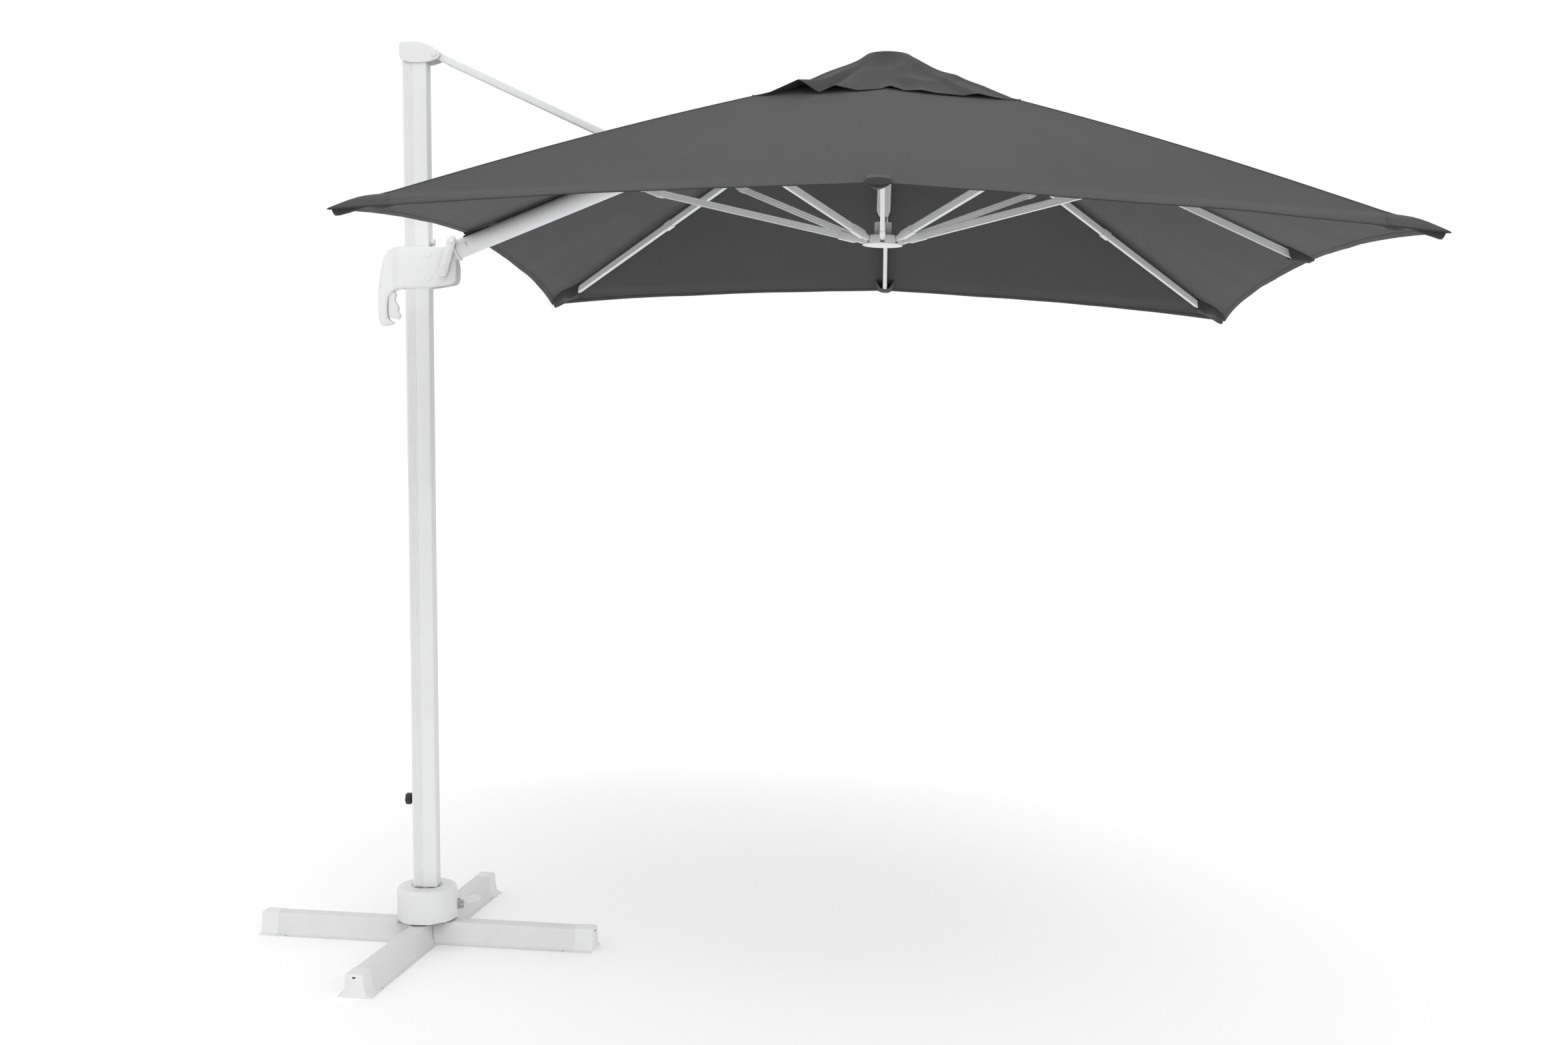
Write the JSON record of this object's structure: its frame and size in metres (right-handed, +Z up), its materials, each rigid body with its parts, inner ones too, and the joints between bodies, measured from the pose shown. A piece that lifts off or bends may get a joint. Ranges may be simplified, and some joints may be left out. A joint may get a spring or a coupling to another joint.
{
  "type": "cantilever parasol",
  "caption": "Square cantilever parasol: side mast on a cross base, hinged boom on a sliding handle, tie strut, folding ribs and struts, fabric canopy with a vent cap.",
  "frame": {"origin": "on the ground at the mast's axis", "axes": "+Z up, +X along the boom toward the canopy, -Y the front; the model stands open at its top stop"},
  "size_m": [3.218, 2.5344, 2.765],
  "materials": {
    "fabric": "matte",
    "steel_paint": "satin",
    "frame": "satin",
    "zinc": "satin",
    "white_plastic": "satin",
    "black_plastic": "satin"
  },
  "bodies": {
    "base": {"base_arm_long": "steel_paint", "base_arm_cross": "steel_paint", "end_cap_right": "white_plastic", "end_cap_far": "white_plastic", "end_cap_left": "white_plastic", "end_cap_near": "white_plastic", "base_plate": "zinc", "centre_foot": "black_plastic", "base_cover": "white_plastic", "base_spindle": "zinc", "pedal_bracket": "zinc"},
    "pedal": {"foot_pedal": "white_plastic"},
    "mast": {"mast_tube": "frame", "mast_bushing": "black_plastic", "mast_cap": "white_plastic", "cap_pin": "zinc", "stop_peg": "white_plastic"},
    "knob": {"mast_knob": "black_plastic"},
    "tie": {"tie_strut": "frame", "tie_pin": "zinc"},
    "boom_frame": {"boom_collar": "white_plastic", "boom_socket": "white_plastic", "boom_pin": "zinc"},
    "lever": {"tilt_lever": "white_plastic"},
    "boom": {"boom_tube": "frame", "boom_tip": "white_plastic", "boom_lug": "white_plastic", "canopy_left": "fabric"},
    "slider": {"slider_front": "white_plastic", "slider_back": "white_plastic"},
    "trigger": {"slider_trigger": "white_plastic"},
    "hub": {"crown_hub": "white_plastic", "centre_post": "frame", "vent_cap": "fabric"},
    "lower_hub": {"lower_hub": "white_plastic"},
    "strut_left": {"strut_left": "frame"},
    "rib_near_left": {"rib_near_left": "frame", "canopy_near_left": "fabric"},
    "strut_near_left": {"strut_near_left": "frame"},
    "rib_near": {"rib_near": "frame", "canopy_near": "fabric"},
    "strut_near": {"strut_near": "frame"},
    "rib_near_right": {"rib_near_right": "frame", "canopy_near_right": "fabric"},
    "strut_near_right": {"strut_near_right": "frame"},
    "rib_right": {"rib_right": "frame", "canopy_right": "fabric"},
    "strut_right": {"strut_right": "frame"},
    "rib_far_right": {"rib_far_right": "frame", "canopy_far_right": "fabric"},
    "strut_far_right": {"strut_far_right": "frame"},
    "rib_far": {"rib_far": "frame", "canopy_far": "fabric"},
    "strut_far": {"strut_far": "frame"},
    "rib_far_left": {"rib_far_left": "frame", "canopy_far_left": "fabric"},
    "strut_far_left": {"strut_far_left": "frame"}
  },
  "joints": [
    {"name": "mast_swivel", "type": "hinge", "parent": "base", "child": "mast", "pos_m": [0, 0, 0.175], "axis": [0, 0, 1], "continuous": true},
    {"name": "mast_knob_turn", "type": "hinge", "parent": "mast", "child": "knob", "pos_m": [-0.0375, 0, 0.4455], "axis": [-1, 0, 0], "continuous": true},
    {"name": "pedal_press", "type": "hinge", "parent": "base", "child": "pedal", "pos_m": [0.08511, 0.06649, 0.098], "axis": [-0.6157, 0.788, 0], "range_deg": [0, 14], "stiffness_Nm_per_rad": 1.2},
    {"name": "canopy_fold", "type": "hinge", "parent": "mast", "child": "tie", "pos_m": [0.062, 0, 2.7208], "axis": [0, 1, 0], "range_deg": [0, 50.74]},
    {"name": "tie_to_boom", "type": "hinge", "parent": "tie", "child": "boom_frame", "pos_m": [0.71361, 0, 2.41334], "axis": [0, 1, 0], "range_deg": [-101.49, 0], "deforming": ["canopy_left"]},
    {"name": "boom_to_slider", "type": "hinge", "parent": "boom_frame", "child": "slider", "pos_m": [0.062, 0, 2.106], "axis": [0, 1, 0], "range_deg": [0, 50.75]},
    {"name": "boom_tilt", "type": "hinge", "parent": "boom_frame", "child": "boom", "pos_m": [1.36502, 0, 2.62809], "axis": [0.9304, 0, 0.3665], "range_deg": [-20, 20]},
    {"name": "lever_turn", "type": "hinge", "parent": "boom_frame", "child": "lever", "pos_m": [0.11298, 0, 2.16295], "axis": [0, 1, 0], "range_deg": [-60, 0]},
    {"name": "trigger_squeeze", "type": "hinge", "parent": "slider", "child": "trigger", "pos_m": [-0.083, 0, 2.006], "axis": [0, 1, 0], "range_deg": [0, 5], "stiffness_Nm_per_rad": 2},
    {"name": "hub_level", "type": "hinge", "parent": "boom", "child": "hub", "pos_m": [1.36502, 0, 2.62809], "axis": [0.0067, 0.9998, -0.017], "range_deg": [0, 50.75], "deforming": ["vent_cap"]},
    {"name": "rib_near_left_fold", "type": "hinge", "parent": "hub", "child": "rib_near_left", "pos_m": [1.38739, -0.03687, 2.63137], "axis": [0.702, -0.7121, -0.0083], "range_deg": [0, 65.27], "deforming": ["canopy_near_left"]},
    {"name": "strut_near_left_fold", "type": "hinge", "parent": "rib_near_left", "child": "strut_near_left", "pos_m": [0.90877, -0.50623, 2.41505], "axis": [0.702, -0.7121, -0.0083], "range_deg": [-130.53, 0]},
    {"name": "rib_near_fold", "type": "hinge", "parent": "hub", "child": "rib_near", "pos_m": [1.42404, -0.05236, 2.63057], "axis": [0.9996, -0.0072, -0.0287], "range_deg": [0, 61.24], "deforming": ["canopy_near"]},
    {"name": "strut_near_fold", "type": "hinge", "parent": "rib_near", "child": "strut_near", "pos_m": [1.4112, -0.71841, 2.35077], "axis": [0.9996, -0.0072, -0.0287], "range_deg": [-130.38, 0]},
    {"name": "rib_near_right_fold", "type": "hinge", "parent": "hub", "child": "rib_near_right", "pos_m": [1.4609, -0.0374, 2.62925], "axis": [0.7115, 0.7019, -0.0324], "range_deg": [0, 65.27], "deforming": ["canopy_near_right"]},
    {"name": "strut_near_right_fold", "type": "hinge", "parent": "rib_near_right", "child": "strut_near_right", "pos_m": [1.91949, -0.51352, 2.386], "axis": [0.7115, 0.7019, -0.0324], "range_deg": [-130.53, 0]},
    {"name": "rib_right_fold", "type": "hinge", "parent": "hub", "child": "rib_right", "pos_m": [1.47637, -0.00075, 2.62819], "axis": [0.0067, 0.9998, -0.017], "range_deg": [0, 61.24], "deforming": ["canopy_right"]},
    {"name": "strut_right_fold", "type": "hinge", "parent": "rib_right", "child": "strut_right", "pos_m": [2.12892, -0.01042, 2.31812], "axis": [0.0067, 0.9998, -0.017], "range_deg": [-130.38, 0]},
    {"name": "rib_far_right_fold", "type": "hinge", "parent": "hub", "child": "rib_far_right", "pos_m": [1.46139, 0.03613, 2.628], "axis": [-0.702, 0.7121, 0.0083], "range_deg": [0, 65.27], "deforming": ["canopy_far_right"]},
    {"name": "strut_far_right_fold", "type": "hinge", "parent": "rib_far_right", "child": "strut_far_right", "pos_m": [1.92628, 0.49747, 2.36876], "axis": [-0.702, 0.7121, 0.0083], "range_deg": [-130.53, 0]},
    {"name": "rib_far_fold", "type": "hinge", "parent": "hub", "child": "rib_far", "pos_m": [1.42474, 0.05162, 2.6288], "axis": [-0.9996, 0.0072, 0.0287], "range_deg": [0, 61.24], "deforming": ["canopy_far"]},
    {"name": "strut_far_fold", "type": "hinge", "parent": "rib_far", "child": "strut_far", "pos_m": [1.42078, 0.70785, 2.32645], "axis": [-0.9996, 0.0072, 0.0287], "range_deg": [-130.38, 0]},
    {"name": "rib_far_left_fold", "type": "hinge", "parent": "hub", "child": "rib_far_left", "pos_m": [1.38789, 0.03666, 2.63011], "axis": [-0.7115, -0.7019, 0.0324], "range_deg": [0, 65.27], "deforming": ["canopy_far_left"]},
    {"name": "strut_far_left_fold", "type": "hinge", "parent": "rib_far_left", "child": "strut_far_left", "pos_m": [0.91556, 0.50476, 2.39781], "axis": [-0.7115, -0.7019, 0.0324], "range_deg": [-130.53, 0]},
    {"name": "strut_left_fold", "type": "hinge", "parent": "boom", "child": "strut_left", "pos_m": [0.68458, -0.00076, 2.31563], "axis": [-0.0067, -0.9998, 0.017], "range_deg": [-114.41, 0]},
    {"name": "lower_hub_slide", "type": "hinge", "parent": "strut_far_left", "child": "lower_hub", "pos_m": [1.37416, 0.02864, 2.15456], "axis": [-0.7115, -0.7019, 0.0324], "range_deg": [0, 65.27]}
  ],
  "couplings": [
    {"joint": "tie_to_boom", "follows": "canopy_fold", "ratio": -2},
    {"joint": "boom_to_slider", "follows": "canopy_fold", "ratio": 1},
    {"joint": "hub_level", "follows": "canopy_fold", "ratio": 1},
    {"joint": "rib_near_left_fold", "follows": "canopy_fold", "ratio": 1.2862},
    {"joint": "strut_near_left_fold", "follows": "canopy_fold", "ratio": -2.5723},
    {"joint": "rib_near_fold", "follows": "canopy_fold", "ratio": 1.2067},
    {"joint": "strut_near_fold", "follows": "canopy_fold", "ratio": -2.5694},
    {"joint": "rib_near_right_fold", "follows": "canopy_fold", "ratio": 1.2862},
    {"joint": "strut_near_right_fold", "follows": "canopy_fold", "ratio": -2.5723},
    {"joint": "rib_right_fold", "follows": "canopy_fold", "ratio": 1.2067},
    {"joint": "strut_right_fold", "follows": "canopy_fold", "ratio": -2.5694},
    {"joint": "rib_far_right_fold", "follows": "canopy_fold", "ratio": 1.2862},
    {"joint": "strut_far_right_fold", "follows": "canopy_fold", "ratio": -2.5723},
    {"joint": "rib_far_fold", "follows": "canopy_fold", "ratio": 1.2067},
    {"joint": "strut_far_fold", "follows": "canopy_fold", "ratio": -2.5694},
    {"joint": "rib_far_left_fold", "follows": "canopy_fold", "ratio": 1.2862},
    {"joint": "strut_far_left_fold", "follows": "canopy_fold", "ratio": -2.5723},
    {"joint": "strut_left_fold", "follows": "canopy_fold", "ratio": -2.2546},
    {"joint": "lower_hub_slide", "follows": "canopy_fold", "ratio": 1.2862}
  ]
}
